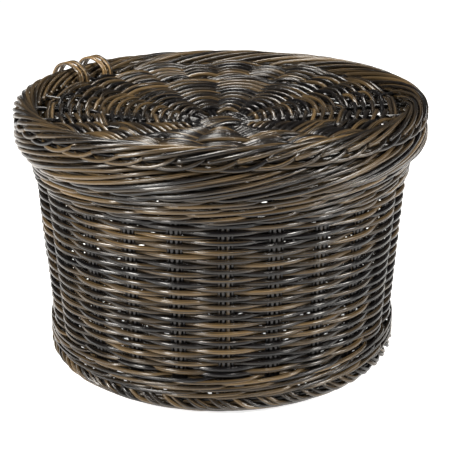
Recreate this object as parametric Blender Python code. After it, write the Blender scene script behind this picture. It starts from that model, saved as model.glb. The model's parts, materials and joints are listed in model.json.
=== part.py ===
"""Round lidded wicker basket: woven base, tapering wall, wide rim and a hinged woven lid.

Metres, +Z up. The basket stands on z = 0 and its hinge is on the +Y side. The origin is the
middle of the footprint, so the basket's own axis sits a little way towards -Y of it.
"""
import math

import bmesh
import bpy
from mathutils import Vector

# Canes
WEAVER_D = 0.0042            # round cane that the weaves are made of
STAKE_W = 0.0086             # two canes side by side
STAKE_T = 0.0044
HINGE_CANE_D = 0.0036
GAP = 0.0003                 # between pieces that touch
STAKES = 25                  # an odd number, so that one weaver alternates by itself
INNER_SPOKES = 13            # all but one fork, which makes STAKES of them at the edge

# Basket
WALL_R_BOTTOM = 0.175        # outside of the wall at its lowest row
WALL_R_TOP = 0.184           # outside of the wall at its highest row
FOOT_PROUD = 0.0008
FOOT_W = 0.020
FOOT_H = 0.018
LOWER_WALING_H = 0.0207
WALL_H = 0.1507
UPPER_WALING_H = 0.022
RIM_H = 0.0277
RIM_W = 0.0263               # from the mouth's edge to the rim's outside
RIM_TUCK = 0.00545           # rim's lower edge inside its widest part
WALING_PROUD = 0.001
BASE_RISE = 0.0062           # from the floor to the underside of the base weave
KNOT_R = 0.027

# Lid
LID_INSET = 0.0005           # lid's edge inside the rim's edge
LID_BORDER_W = 0.024
LID_BORDER_H = 0.0195
LID_BORDER_FALL = 0.0085     # the roll is this much lower at its inner edge
LID_DISH = 0.0225            # lid's middle below where its spokes enter the border
LID_CLEARANCE = 0.0080       # lid's weave inside the basket's mouth
SEAT_GAP = 0.0004
FORK_R = 0.106               # where the spokes nearest the single one fork
FORK_SPREAD = 0.008          # how much further out the spokes near the hinge fork
FORK_RUN = 0.012             # over which the two canes of a fork part
FORK_OPEN = math.radians(8.0)  # of each of them from the middle of the fork
SINGLE_SPOKE = 9             # counted from the hinge: the spoke that doesn't fork
SPOKE_END_CLEARANCE = 0.0008  # between neighbouring spokes at their inner ends
HUB_MARGIN = 0.0021          # the base's cross opens out this far past those ends
STICK_CLEARANCE = 0.0018     # between the base's sticks and the side stakes
SOCKET_LEVEL = 0.35          # height of the spokes' ends within the lid's border

# Hinge
EYE_CLEARANCE = 0.0006       # between the lid's cane loops and the cane they turn on
HINGE_STANDOFF = 0.0005
LOOP_X = (0.013, 0.022)      # the lid's two loops on each side
LEG_X = (0.008, 0.027)       # the basket's loop stands on either side of them
LOOP_RISE = 0.0052           # loops above the lid's border
INNER_RUN = 0.0058           # loops inside the basket's mouth
LEG_DEPTH = 0.039            # from the seat down to where the basket's loop goes through the wall
LEG_CLEARANCE = 0.0035       # from the wall's inner face there to the middle of the loop's cane

RING_STEPS = 2 * STAKES
PITCH = 2 * math.pi / STAKES
SPOKE_PITCH = 2 * math.pi / INNER_SPOKES

# Levels
WALL_T = STAKE_T + 2 * WEAVER_D
Z_LOWER = FOOT_H + GAP
Z_WALL = Z_LOWER + LOWER_WALING_H + GAP
Z_UPPER = Z_WALL + WALL_H + GAP
Z_RIM = Z_UPPER + UPPER_WALING_H + GAP
Z_MOUTH = Z_RIM + RIM_H
Z_SEAT = Z_MOUTH + SEAT_GAP
Z_BASE = BASE_RISE + WALL_T / 2
Z_SOCKET = Z_SEAT + SOCKET_LEVEL * LID_BORDER_H
Z_KNOT = Z_SOCKET - LID_DISH
Z_HINGE = Z_MOUTH + SEAT_GAP / 2


def wall_outer(z):
    """Outside radius at a height: upright up to the wall's lowest row, then tapering."""
    return WALL_R_BOTTOM + (WALL_R_TOP - WALL_R_BOTTOM) * (max(z, Z_WALL) - Z_WALL) / WALL_H


def wall_inner(z):
    """Inside radius of the wall at a height."""
    return wall_outer(z) - WALL_T


# Radii
FOOT_R = WALL_R_BOTTOM + FOOT_PROUD
FOOT_INNER_R = FOOT_R - FOOT_W
BASE_R = FOOT_INNER_R - GAP
MOUTH_R = wall_inner(Z_MOUTH)
RIM_R = MOUTH_R + RIM_W
LID_R = RIM_R - LID_INSET
LID_INNER_R = LID_R - LID_BORDER_W
LID_WEAVE_R = MOUTH_R - LID_CLEARANCE
WEAVE_INNER_R = KNOT_R + 0.004
SPOKE_INNER_R = (STAKE_W / 2 + GAP) / math.tan(SPOKE_PITCH / 2) + SPOKE_END_CLEARANCE

# Hinge line
EYE_R = HINGE_CANE_D + EYE_CLEARANCE
HINGE_Y = RIM_R + HINGE_STANDOFF + EYE_R + HINGE_CANE_D / 2
HINGE_REACH = HINGE_Y + EYE_R + HINGE_CANE_D / 2 - RIM_R
AXIS_SHIFT = -HINGE_REACH / 2


def clear_scene():
    for old in list(bpy.data.objects):
        bpy.data.objects.remove(old)


def cane_material(name, colour, roughness):
    material = bpy.data.materials.new(name)
    material.use_nodes = True
    shader = material.node_tree.nodes["Principled BSDF"]
    shader.inputs["Base Color"].default_value = (*colour, 1.0)
    shader.inputs["Roughness"].default_value = roughness
    return material


def stake_angle(index):
    """Stakes and spokes are counted anticlockwise from the hinge."""
    return math.pi / 2 + index * PITCH


def new_object(name, mesh, material, parent):
    if material:
        mesh.materials.append(material)
    made = bpy.data.objects.new(name, mesh)
    bpy.context.collection.objects.link(made)
    made.parent = parent
    return made


def finish_mesh(name, bm, smooth=True):
    bmesh.ops.recalc_face_normals(bm, faces=bm.faces)
    mesh = bpy.data.meshes.new(name)
    bm.to_mesh(mesh)
    bm.free()
    if smooth:
        mesh.shade_smooth()
        mesh.set_sharp_from_angle(angle=math.radians(40))
    return mesh


def turned_ring(name, profile, material, parent):
    """A closed outline of (radius, height) points spun about the basket's axis."""
    bm = bmesh.new()
    start = math.pi / 2
    corners = [bm.verts.new((r * math.cos(start), r * math.sin(start), z)) for r, z in profile]
    edges = [bm.edges.new((corners[i - 1], corners[i])) for i in range(len(corners))]
    bmesh.ops.spin(bm, geom=corners + edges, cent=(0, 0, 0), axis=(0, 0, 1),
                   angle=2 * math.pi, steps=RING_STEPS, use_merge=True)
    return new_object(name, finish_mesh(name, bm), material, parent)


def stadium(width, thickness):
    """Outline round two canes side by side."""
    w, t = width / 2, thickness / 2
    return [(w, 0), (w - t * 0.7, t), (t * 0.7 - w, t), (-w, 0), (t * 0.7 - w, -t), (w - t * 0.7, -t)]


def skin(bm, loops):
    """Sides along a row of equal loops of vertices."""
    for low, high in zip(loops, loops[1:]):
        for i in range(len(low)):
            bm.faces.new((low[i - 1], low[i], high[i], high[i - 1]))


def join_loops(bm, loops):
    """Sides along a row of equal loops of vertices, and a cap on both ends."""
    skin(bm, loops)
    bm.faces.new(list(reversed(loops[0])))
    bm.faces.new(loops[-1])


def add_stake(bm, index, clearance):
    """One side stake, which follows the middle of the wall; as a cutter it is wider."""
    angle = stake_angle(index)
    out = Vector((math.cos(angle), math.sin(angle), 0))
    along = Vector((-math.sin(angle), math.cos(angle), 0))
    outline = stadium(STAKE_W + 2 * clearance, STAKE_T + 2 * clearance)
    loops = []
    for z in (0.55 * FOOT_H - clearance, Z_WALL, Z_MOUTH - 0.55 * RIM_H + clearance):
        middle = out * (wall_outer(z) - WALL_T / 2) + Vector((0, 0, z))
        loops.append([bm.verts.new(middle + along * x + out * y) for x, y in outline])
    join_loops(bm, loops)


def bar_corners(path, width, thickness):
    """Four corners of a flat bar at each point of a path; its width lies level."""
    loops = []
    for i, point in enumerate(path):
        before = path[max(i - 1, 0)]
        after = path[min(i + 1, len(path) - 1)]
        ahead = (after - before).normalized()
        side = Vector((-ahead.y, ahead.x, 0)).normalized()
        up = side.cross(ahead) * -1
        corners = ((-1, -1), (1, -1), (1, 1), (-1, 1))
        loops.append([point + side * (width / 2 * a) + up * (thickness / 2 * b) for a, b in corners])
    return loops


def add_bar(bm, path, width, thickness):
    join_loops(bm, [[bm.verts.new(corner) for corner in corners]
                    for corners in bar_corners(path, width, thickness)])


def add_fork(bm, paths, width, thickness):
    """Two bars side by side that are one piece up to the second point of their paths."""
    right, left = [bar_corners(path, width, thickness) for path in paths]
    near, fork = [[bm.verts.new(corner) for corner in (right[i][0], left[i][1], left[i][2], right[i][3])]
                  for i in (0, 1)]
    below, above = [bm.verts.new((right[1][a] + left[1][b]) / 2) for a, b in ((1, 0), (2, 3))]
    bm.faces.new(list(reversed(near)))
    bm.faces.new((near[0], near[1], fork[1], below, fork[0]))
    bm.faces.new((near[1], near[2], fork[2], fork[1]))
    bm.faces.new((near[2], near[3], fork[3], above, fork[2]))
    bm.faces.new((near[3], near[0], fork[0], fork[3]))
    for start, corners in (((fork[0], below, above, fork[3]), right[2:]),
                           ((below, fork[1], fork[2], above), left[2:])):
        loops = [start] + [[bm.verts.new(corner) for corner in loop] for loop in corners]
        skin(bm, loops)
        bm.faces.new(loops[-1])


def lid_level(radius):
    """Middle level of the lid's weave, a shallow dish that rises evenly to the mouth."""
    return Z_KNOT + LID_DISH * min(radius / MOUTH_R, 1.0)


def inner_spoke_angle(spoke):
    return stake_angle(SINGLE_SPOKE) + spoke * SPOKE_PITCH


def fork_radius(spoke):
    """Spokes fork further out the nearer they are to the far side of the single one."""
    return FORK_R + FORK_SPREAD * (1 - math.cos(spoke * SPOKE_PITCH))


def polar(radius, angle, z):
    return Vector((radius * math.cos(angle), radius * math.sin(angle), z))


def spoke_arm(spoke, side, inset=0.0):
    """Path of one cane of a lid spoke: side -1 or +1 of a pair, or 0 for the single one."""
    inner = inner_spoke_angle(spoke)
    outer = stake_angle(SINGLE_SPOKE + 2 * spoke - (1 if side < 0 else 0))
    if side == 0:
        outer = inner
    offset = Vector((-math.sin(inner), math.cos(inner), 0)) * (side * STAKE_W / 4)
    fork = fork_radius(spoke)
    knee = LID_WEAVE_R + 0.0015
    middle = outer - side * PITCH / 2
    parted = inner + (middle - inner) * FORK_RUN / (knee - fork) + side * FORK_OPEN
    start = SPOKE_INNER_R - inset
    return [polar(start, inner, lid_level(start)) + offset,
            polar(fork, inner, lid_level(fork)) + offset,
            polar(fork + FORK_RUN, parted, lid_level(fork + FORK_RUN)),
            polar(knee, outer, lid_level(knee)),
            polar(MOUTH_R - 0.0005, outer, Z_SOCKET),
            polar(LID_INNER_R + 0.010 + inset, outer, Z_SOCKET)]


def spoke_sides(spoke):
    return (0,) if spoke == 0 else (-1, 1)


def arm_width(side):
    return STAKE_W if side == 0 else STAKE_W / 2 + GAP


def add_boolean(target, other, operation):
    modifier = target.modifiers.new(other.name, "BOOLEAN")
    modifier.operation = operation
    modifier.solver = "EXACT"
    modifier.object = other


def cutter(name, bm, parent):
    made = new_object(name, finish_mesh(name, bm, smooth=False), None, parent)
    made.hide_render = True
    made.display_type = "WIRE"
    return made


def add_box(bm, low, high):
    made = bmesh.ops.create_cube(bm, size=1.0)
    low, high = Vector(low), Vector(high)
    for vert in made["verts"]:
        vert.co = Vector(low[i] if vert.co[i] < 0 else high[i] for i in range(3))


def hinge_slots(name, places, half_width, z_low, z_high, parent):
    """Level slots across the +Y side, one at each of the places along X."""
    bm = bmesh.new()
    for x in places:
        add_box(bm, (x - half_width, 0.8 * MOUTH_R, z_low), (x + half_width, HINGE_Y + EYE_R, z_high))
    return cutter(name, bm, parent)


def star(bm, arms, hub, reach, width, z_low, z_high):
    """A hub with radial arms, cut from one board."""
    outline = []
    for i in range(arms):
        angle = math.pi / 2 + i * 2 * math.pi / arms
        out = Vector((math.cos(angle), math.sin(angle), 0))
        side = Vector((-math.sin(angle), math.cos(angle), 0)) * (width / 2)
        outline += [out * hub - side, out * reach - side, out * reach + side, out * hub + side]
    loops = [[bm.verts.new(point + Vector((0, 0, z))) for point in outline] for z in (z_low, z_high)]
    join_loops(bm, loops)


def cane_loop(name, points, material, parent):
    """A closed loop of round cane."""
    curve = bpy.data.curves.new(name, "CURVE")
    curve.dimensions = "3D"
    curve.bevel_depth = HINGE_CANE_D / 2
    curve.bevel_resolution = 1
    spline = curve.splines.new("POLY")
    spline.points.add(len(points) - 1)
    for vert, point in zip(spline.points, points):
        vert.co = (*point, 1.0)
    spline.use_cyclic_u = True
    curve.materials.append(material)
    made = bpy.data.objects.new(name, curve)
    bpy.context.collection.objects.link(made)
    made.parent = parent
    return made


def make_side_stakes(material, parent):
    for index in range(STAKES):
        bm = bmesh.new()
        add_stake(bm, index, 0.0)
        name = f"side_stake_{index + 1:02d}"
        new_object(name, finish_mesh(name, bm), material, parent)


def stake_cutter(parent):
    bm = bmesh.new()
    for index in range(STAKES):
        add_stake(bm, index, GAP)
    return cutter("stake_channels", bm, parent)


def make_base(materials, parent):
    """Cross of sticks, the weave round it and the knot that binds its middle."""
    arm_reach = WALL_R_BOTTOM - WALL_T / 2 - STAKE_T / 2 - STICK_CLEARANCE
    hub = SPOKE_INNER_R + HUB_MARGIN

    def cross(clearance):
        bm = bmesh.new()
        star(bm, INNER_SPOKES, hub + clearance, arm_reach + clearance, STAKE_W + 2 * clearance,
             Z_BASE - STAKE_T / 2 - clearance, Z_BASE + STAKE_T / 2 + clearance)
        return bm

    new_object("base_cross", finish_mesh("base_cross", cross(0.0)), materials["stake"], parent)
    channels = cutter("base_channels", cross(GAP), parent)
    low, high = Z_BASE - WALL_T / 2, Z_BASE + WALL_T / 2
    weave = turned_ring("base_weave", [(BASE_R, low), (BASE_R, high), (WEAVE_INNER_R, high),
                                       (WEAVE_INNER_R, low)], materials["weave"], parent)
    add_boolean(weave, channels, "DIFFERENCE")
    knot = make_knot("base_knot", Z_BASE, materials["weave"], parent)
    add_boolean(knot, channels, "DIFFERENCE")
    return channels


def make_knot(name, z, material, parent):
    """Low round button of lapped canes."""
    bm = bmesh.new()
    loops = []
    for radius, height in ((0.8 * KNOT_R, -0.6 * WALL_T), (KNOT_R, -0.3 * WALL_T),
                           (KNOT_R, 0.3 * WALL_T), (0.8 * KNOT_R, 0.6 * WALL_T)):
        loops.append([bm.verts.new(polar(radius, math.pi / 2 + i * math.pi / INNER_SPOKES, z + height))
                      for i in range(2 * INNER_SPOKES)])
    join_loops(bm, loops)
    return new_object(name, finish_mesh(name, bm), material, parent)


def make_basket_rings(materials, parent, channels, base_channels):
    foot = turned_ring("foot_border", [
        (FOOT_R - 0.003, 0.0), (FOOT_R, 0.005), (FOOT_R, FOOT_H - 0.004), (FOOT_R - 0.002, FOOT_H),
        (FOOT_INNER_R + 0.002, FOOT_H), (FOOT_INNER_R, FOOT_H - 0.004), (FOOT_INNER_R, 0.005),
        (FOOT_INNER_R + 0.003, 0.0)], materials["border"], parent)
    z_low, z_high = Z_LOWER, Z_LOWER + LOWER_WALING_H
    lower = turned_ring("lower_waling", [
        (wall_outer(z_low) + WALING_PROUD, z_low), (wall_outer(z_high) + WALING_PROUD, z_high),
        (wall_inner(z_high), z_high), (wall_inner(z_low), z_low)], materials["border"], parent)
    z_low, z_high = Z_WALL, Z_WALL + WALL_H
    wall = turned_ring("wall_weave", [
        (wall_outer(z_low), z_low), (wall_outer(z_high), z_high),
        (wall_inner(z_high), z_high), (wall_inner(z_low), z_low)], materials["weave"], parent)
    z_low, z_high = Z_UPPER, Z_UPPER + UPPER_WALING_H
    upper = turned_ring("upper_waling", [
        (wall_outer(z_low) + WALING_PROUD, z_low), (RIM_R - RIM_TUCK - GAP, z_high),
        (wall_inner(z_high), z_high), (wall_inner(z_low), z_low)], materials["border"], parent)
    rim = turned_ring("rim_border", [
        (RIM_R - RIM_TUCK, Z_RIM), (RIM_R, Z_RIM + 0.35 * RIM_H), (RIM_R, Z_MOUTH - 0.25 * RIM_H),
        (RIM_R - 0.002, Z_MOUTH - 0.07 * RIM_H), (RIM_R - 0.0055, Z_MOUTH), (MOUTH_R + 0.004, Z_MOUTH),
        (MOUTH_R, Z_MOUTH - 0.15 * RIM_H), (wall_inner(Z_RIM), Z_RIM)], materials["border"], parent)
    for ring in (foot, lower, wall, upper, rim):
        add_boolean(ring, channels, "DIFFERENCE")
    add_boolean(foot, base_channels, "DIFFERENCE")
    return upper, rim


def make_lid(materials, parent):
    arm_cutters = []
    for sides, name in (((0, -1), "spoke_channels_a"), ((1,), "spoke_channels_b")):
        bm = bmesh.new()
        for spoke in range(INNER_SPOKES):
            for side in spoke_sides(spoke):
                if side in sides:
                    add_bar(bm, spoke_arm(spoke, side, inset=GAP), arm_width(side) + 2 * GAP,
                            STAKE_T + 2 * GAP)
        arm_cutters.append(cutter(name, bm, parent))
    edge, hub = lid_level(LID_WEAVE_R), lid_level(WEAVE_INNER_R)
    weave = turned_ring("lid_weave", [
        (LID_WEAVE_R, edge - WALL_T / 2), (LID_WEAVE_R, edge + WALL_T / 2),
        (WEAVE_INNER_R, hub + WALL_T / 2), (WEAVE_INNER_R, hub - WALL_T / 2)], materials["weave"], parent)
    knot = make_knot("lid_knot", Z_KNOT, materials["weave"], parent)
    top = Z_SEAT + LID_BORDER_H
    border = turned_ring("lid_border", [
        (LID_R - 0.004, Z_SEAT), (LID_R, Z_SEAT + 0.004), (LID_R, top - 0.008), (LID_R - 0.0035, top - 0.002),
        (LID_R - 0.0085, top), (LID_R - 0.0135, top - 0.0012), (LID_INNER_R, top - LID_BORDER_FALL),
        (LID_INNER_R, Z_SEAT + 0.003), (LID_INNER_R + 0.003, Z_SEAT)], materials["border"], parent)
    for piece in (weave, knot, border):
        for arms in arm_cutters:
            add_boolean(piece, arms, "DIFFERENCE")
    return border


def make_lid_spokes(material, parent):
    """Each spoke but the single one is a pair of canes that lie together and part at the fork."""
    for spoke in range(INNER_SPOKES):
        bm = bmesh.new()
        arms = [spoke_arm(spoke, side) for side in spoke_sides(spoke)]
        if len(arms) == 1:
            add_bar(bm, arms[0], arm_width(0), STAKE_T)
        else:
            add_fork(bm, arms, arm_width(1), STAKE_T)
        name = f"lid_spoke_{spoke + 1:02d}"
        new_object(name, finish_mesh(name, bm), material, parent)


def lid_loop_points(x):
    """Loop round the lid's border, with an eye round the hinge line at its outer end."""
    run = Z_SEAT + 0.0005 + HINGE_CANE_D / 2
    top = Z_SEAT + LID_BORDER_H + LOOP_RISE
    inner = MOUTH_R - INNER_RUN
    line = [(inner, run + 0.006), (inner + 0.0008, run + 0.0012), (inner + 0.0038, run),
            (LID_INNER_R + 0.010, run), (RIM_R - 0.0045, run - 0.0002)]
    for degrees in (200, 235, 270, 305, 340, 375):
        turn = math.radians(degrees)
        line.append((HINGE_Y + EYE_R * math.cos(turn), Z_HINGE + EYE_R * math.sin(turn)))
    line += [(HINGE_Y + 0.002, Z_HINGE + 0.011), (HINGE_Y - 0.0045, top - 0.0045),
             (LID_R - 0.006, top), (LID_INNER_R + 0.010, top + 0.0008), (LID_INNER_R + 0.001, top - 0.002),
             (inner + 0.0015, top - 0.008)]
    return [(x, y, z) for y, z in line]


def basket_loop_points(hand):
    """Loop round the basket's rim; its outer run lies on the hinge line."""
    near, far = LEG_X
    groove = Z_MOUTH - 0.0004 - HINGE_CANE_D / 2
    hole = Z_SEAT - LEG_DEPTH
    inner = MOUTH_R - INNER_RUN
    low = wall_inner(hole) - LEG_CLEARANCE
    bend = LOOP_X[0] - HINGE_CANE_D / 2 - GAP - near
    middle = (near + far) / 2
    line = [(near + bend, HINGE_Y, Z_HINGE), (middle, HINGE_Y, Z_HINGE), (far - bend, HINGE_Y, Z_HINGE),
            (far - 0.0007, HINGE_Y - 0.0007, Z_HINGE - 0.0002), (far, HINGE_Y - 0.0030, groove + 0.0012),
            (far, RIM_R - 0.0050, groove), (far, LID_INNER_R + 0.006, groove), (far, inner + 0.0022, groove),
            (far - 0.0002, inner + 0.0005, groove - 0.0011), (far - 0.0012, inner, groove - 0.0040),
            (middle, (inner + low) / 2 - 0.0003, (groove + hole) / 2), (near + 0.0022, low - 0.0010, hole + 0.006),
            (near + 0.0002, low, hole + 0.0012), (near, low + 0.0040, hole),
            (near, wall_outer(hole) - 0.004, hole), (near, RIM_R - 0.0060, hole + 0.0006),
            (near, RIM_R + 0.0012, hole + 0.0042), (near, RIM_R + 0.0030, hole + 0.011),
            (near, RIM_R + 0.0032, Z_HINGE - 0.014), (near, HINGE_Y - 0.0016, Z_HINGE - 0.0055),
            (near + 0.0006, HINGE_Y - 0.0001, Z_HINGE - 0.0014)]
    return [(hand * x, y, z) for x, y, z in line]


def make_hinge(material, basket, lid, upper, rim, border):
    half = HINGE_CANE_D / 2 + 0.0004
    run = Z_SEAT + 0.0005 + HINGE_CANE_D / 2
    hole = Z_SEAT - LEG_DEPTH
    sides = (-1, 1)
    grooves = hinge_slots("loop_grooves", [hand * x for hand in sides for x in LOOP_X], half,
                          Z_SEAT - 0.001, run + half, lid)
    add_boolean(border, grooves, "DIFFERENCE")
    notches = hinge_slots("rim_grooves", [hand * LEG_X[1] for hand in sides], half,
                          Z_MOUTH - HINGE_CANE_D - 0.0010, Z_MOUTH + 0.001, basket)
    add_boolean(rim, notches, "DIFFERENCE")
    holes = hinge_slots("wall_holes", [hand * LEG_X[0] for hand in sides], half,
                        hole - half, hole + half + 0.0004, basket)
    add_boolean(upper, holes, "DIFFERENCE")
    for hand, side in zip(sides, ("left", "right")):
        cane_loop(f"hinge_basket_loop_{side}", basket_loop_points(hand), material, basket)
        for x, place in zip(LOOP_X, ("inner", "outer")):
            cane_loop(f"hinge_lid_loop_{side}_{place}", lid_loop_points(hand * x), material, lid)


def main():
    clear_scene()
    materials = {
        "weave": cane_material("weave_cane", (0.07, 0.055, 0.042), 0.38),
        "border": cane_material("border_cane", (0.10, 0.075, 0.05), 0.36),
        "stake": cane_material("stake_cane", (0.045, 0.038, 0.032), 0.45),
        "hinge": cane_material("hinge_cane", (0.30, 0.19, 0.09), 0.38),
    }
    basket = bpy.data.objects.new("basket_axis", None)
    basket.location = (0, AXIS_SHIFT, 0)
    bpy.context.collection.objects.link(basket)
    hinge = bpy.data.objects.new("hinge_line", None)
    hinge.location = (0, AXIS_SHIFT + HINGE_Y, Z_HINGE)
    bpy.context.collection.objects.link(hinge)
    lid = bpy.data.objects.new("lid_axis", None)
    lid.location = (0, -HINGE_Y, -Z_HINGE)
    lid.parent = hinge
    bpy.context.collection.objects.link(lid)

    channels = stake_cutter(basket)
    base_channels = make_base(materials, basket)
    make_side_stakes(materials["stake"], basket)
    upper, rim = make_basket_rings(materials, basket, channels, base_channels)
    border = make_lid(materials, lid)
    make_lid_spokes(materials["stake"], lid)
    make_hinge(materials["hinge"], basket, lid, upper, rim, border)


main()
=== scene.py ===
"""Round lidded wicker basket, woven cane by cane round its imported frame."""

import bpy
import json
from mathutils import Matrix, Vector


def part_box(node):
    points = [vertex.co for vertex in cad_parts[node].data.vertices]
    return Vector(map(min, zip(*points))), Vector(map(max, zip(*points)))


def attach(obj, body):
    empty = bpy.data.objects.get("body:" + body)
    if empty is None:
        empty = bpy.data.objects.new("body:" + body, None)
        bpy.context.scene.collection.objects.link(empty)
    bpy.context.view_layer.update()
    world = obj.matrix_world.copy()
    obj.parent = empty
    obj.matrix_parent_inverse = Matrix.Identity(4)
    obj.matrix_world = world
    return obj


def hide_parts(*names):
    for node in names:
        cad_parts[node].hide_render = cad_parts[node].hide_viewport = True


bl_info = {
    "name": "Round Wicker Basket",
    "version": (1, 0, 0),
    "blender": (4, 5, 0),
    "location": "View3D > Sidebar > Basket",
    "description": "Weaves a round lidded basket of resin cane round its frame",
    "category": "Object",
}

import json
import math
import random

import bpy
import numpy as np
from bpy.props import FloatProperty, FloatVectorProperty, IntProperty, PointerProperty
from mathutils import Matrix, Vector

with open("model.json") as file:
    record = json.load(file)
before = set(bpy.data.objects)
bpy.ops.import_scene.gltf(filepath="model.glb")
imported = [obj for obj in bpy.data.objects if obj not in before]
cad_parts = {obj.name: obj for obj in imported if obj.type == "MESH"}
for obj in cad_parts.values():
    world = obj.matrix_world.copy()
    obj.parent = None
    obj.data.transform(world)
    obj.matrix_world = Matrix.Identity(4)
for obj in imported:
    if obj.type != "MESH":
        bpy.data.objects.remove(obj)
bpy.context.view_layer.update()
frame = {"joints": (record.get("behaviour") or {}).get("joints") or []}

STAKES = 25                  # odd, so that one weaver alternates by itself
INNER_SPOKES = 13            # all but one of the lid's spokes fork on their way out
SPOKE_T = 0.0044
SINGLE_SPOKE = 9             # counted anticlockwise from the hinge
PITCH = 2 * math.pi / STAKES
SPOKE_PITCH = 2 * math.pi / INNER_SPOKES
HINGE_SIDE = math.pi / 2
WALING_PROUD = 0.001
WEAVE_START_R = 0.0335       # first row of the lid's and the base's weave
LID_WEAVE_END_R = 0.1735
SPOKE_START_R = 0.0205       # inner ends of the spokes and of the base's sticks
SPOKE_END_R = 0.1855
KNOT_REACH = 0.0262
FORK_R = 0.106               # where the spokes nearest the single one fork
FORK_SPREAD = 0.008          # how much further out the spokes near the hinge fork
FORK_RUN = 0.012             # over which the two canes of a fork part
FORK_OPEN = math.radians(8.0)  # of each of them from the middle of the fork


# ---------------------------------------------------------------- places read from the frame

def ring(node):
    """Outside radius, lowest and highest level of a turned node."""
    low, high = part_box(node)
    return (high.y - low.y) / 2, low.z, high.z


WALL_R_TOP, Z_WALL, Z_WALL_TOP = ring("wall_weave")
LOWER_R, Z_LOWER, Z_LOWER_TOP = ring("lower_waling")
UPPER_R, Z_UPPER, Z_UPPER_TOP = ring("upper_waling")
RIM_R, Z_RIM, Z_MOUTH = ring("rim_border")
FOOT_R, _, Z_FOOT_TOP = ring("foot_border")
LID_R, Z_SEAT, Z_LID_TOP = ring("lid_border")
LID_WEAVE_R = ring("lid_weave")[0]
BASE_R, BASE_LOW, BASE_HIGH = ring("base_weave")
AXIS_Y = (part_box("wall_weave")[0].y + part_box("wall_weave")[1].y) / 2
WALL_T = BASE_HIGH - BASE_LOW
Z_KNOT = (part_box("lid_knot")[0].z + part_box("lid_knot")[1].z) / 2
Z_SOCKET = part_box("lid_spoke_01")[1].z - SPOKE_T / 2
Z_BASE = (BASE_LOW + BASE_HIGH) / 2
WALL_R_BOTTOM = LOWER_R - WALING_PROUD
HINGE = next(joint for joint in frame["joints"] if joint["name"] == "lid_hinge")
HINGE_Y = HINGE["pos_m"][1] - AXIS_Y
Z_HINGE = HINGE["pos_m"][2]


def polar(radius, angle, height):
    """A point about the basket's own axis."""
    return Vector((radius * math.cos(angle), AXIS_Y + radius * math.sin(angle), height))


def mix(a, b, t):
    return a + (b - a) * t


def wall_outer(z):
    """Outside radius at a height: upright up to the wall's lowest row, then tapering."""
    return mix(WALL_R_BOTTOM, WALL_R_TOP, (max(z, Z_WALL) - Z_WALL) / (Z_WALL_TOP - Z_WALL))


def wall_middle(z):
    return wall_outer(z) - WALL_T / 2


MOUTH_R = wall_outer(Z_MOUTH) - WALL_T


def lid_level(radius):
    """Middle level of the lid's weave: a shallow dish that rises evenly to the mouth."""
    return mix(Z_KNOT, Z_SOCKET, min(radius / MOUTH_R, 1.0))


def stake_angle(index):
    """Stakes and spokes are counted anticlockwise from the hinge."""
    return HINGE_SIDE + index * PITCH


def smooth(value, low, high):
    """0 below low, 1 above high and a soft step between."""
    t = min(max((value - low) / (high - low), 0.0), 1.0)
    return t * t * (3 - 2 * t)


def curve_through(values, t):
    """Smooth value at t (0 to 1) along evenly spaced values."""
    place = min(max(t, 0.0), 1.0) * (len(values) - 1)
    i = min(int(place), len(values) - 2)
    f = place - i
    before = values[max(i - 1, 0)]
    after = values[min(i + 2, len(values) - 1)]
    a, b = values[i], values[i + 1]
    return a + 0.5 * f * ((b - before) + f * (2 * before - 5 * a + 4 * b - after
                                              + f * (3 * (a - b) + after - before)))


def smooth_path(points, steps):
    """A smooth open path of steps + 1 points through a few given ones."""
    return [Vector([curve_through([p[axis] for p in points], i / steps) for axis in range(3)])
            for i in range(steps + 1)]


def smooth_loop(points, between):
    """A smooth closed path with a few steps between each pair of given points."""
    count = len(points)
    path = []
    for i in range(count):
        four = [points[(i + k) % count] for k in (-1, 0, 1, 2)]
        for step in range(between):
            t = (1 + step / between) / 3
            path.append(Vector([curve_through([p[axis] for p in four], t) for axis in range(3)]))
    return path


# ---------------------------------------------------------------- sizes and colours

class BasketSizes(bpy.types.PropertyGroup):
    weaver: FloatProperty(name="Weaver", description="Diameter of the cane in the weave",
                          default=0.0048, unit="LENGTH")
    lid_weaver: FloatProperty(name="Lid weaver", default=0.0041, unit="LENGTH",
                              description="Diameter of the cane in the lid's and the base's weave")
    border_cane: FloatProperty(name="Border cane", description="Diameter of the cane in the borders",
                               default=0.0038, unit="LENGTH")
    stake_cane: FloatProperty(name="Stake cane", description="Diameter of one cane of a stake",
                              default=0.0042, unit="LENGTH")
    swing: FloatProperty(name="Swing", description="How far a weaver goes out over a stake and in behind it",
                         default=0.0031, unit="LENGTH")
    hinge_cane: FloatProperty(name="Hinge cane", description="Diameter of the cane in the hinge",
                              default=0.0036, unit="LENGTH")
    row_pitch: FloatProperty(name="Row pitch", description="Height of one row of the wall",
                             default=0.00443, unit="LENGTH")
    lid_pitch: FloatProperty(name="Lid row pitch", description="Width of one row of the lid",
                             default=0.0043, unit="LENGTH")
    steps: IntProperty(name="Steps", description="Points of a weaver between two stakes",
                       default=8, min=4, max=12)
    sink: FloatProperty(name="Sink", description="How far a weaver sinks behind a stake",
                        default=0.0010, unit="LENGTH")
    wobble: FloatProperty(name="Wobble", description="How far the hand-laid canes stray",
                          default=0.0003, unit="LENGTH")


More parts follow.
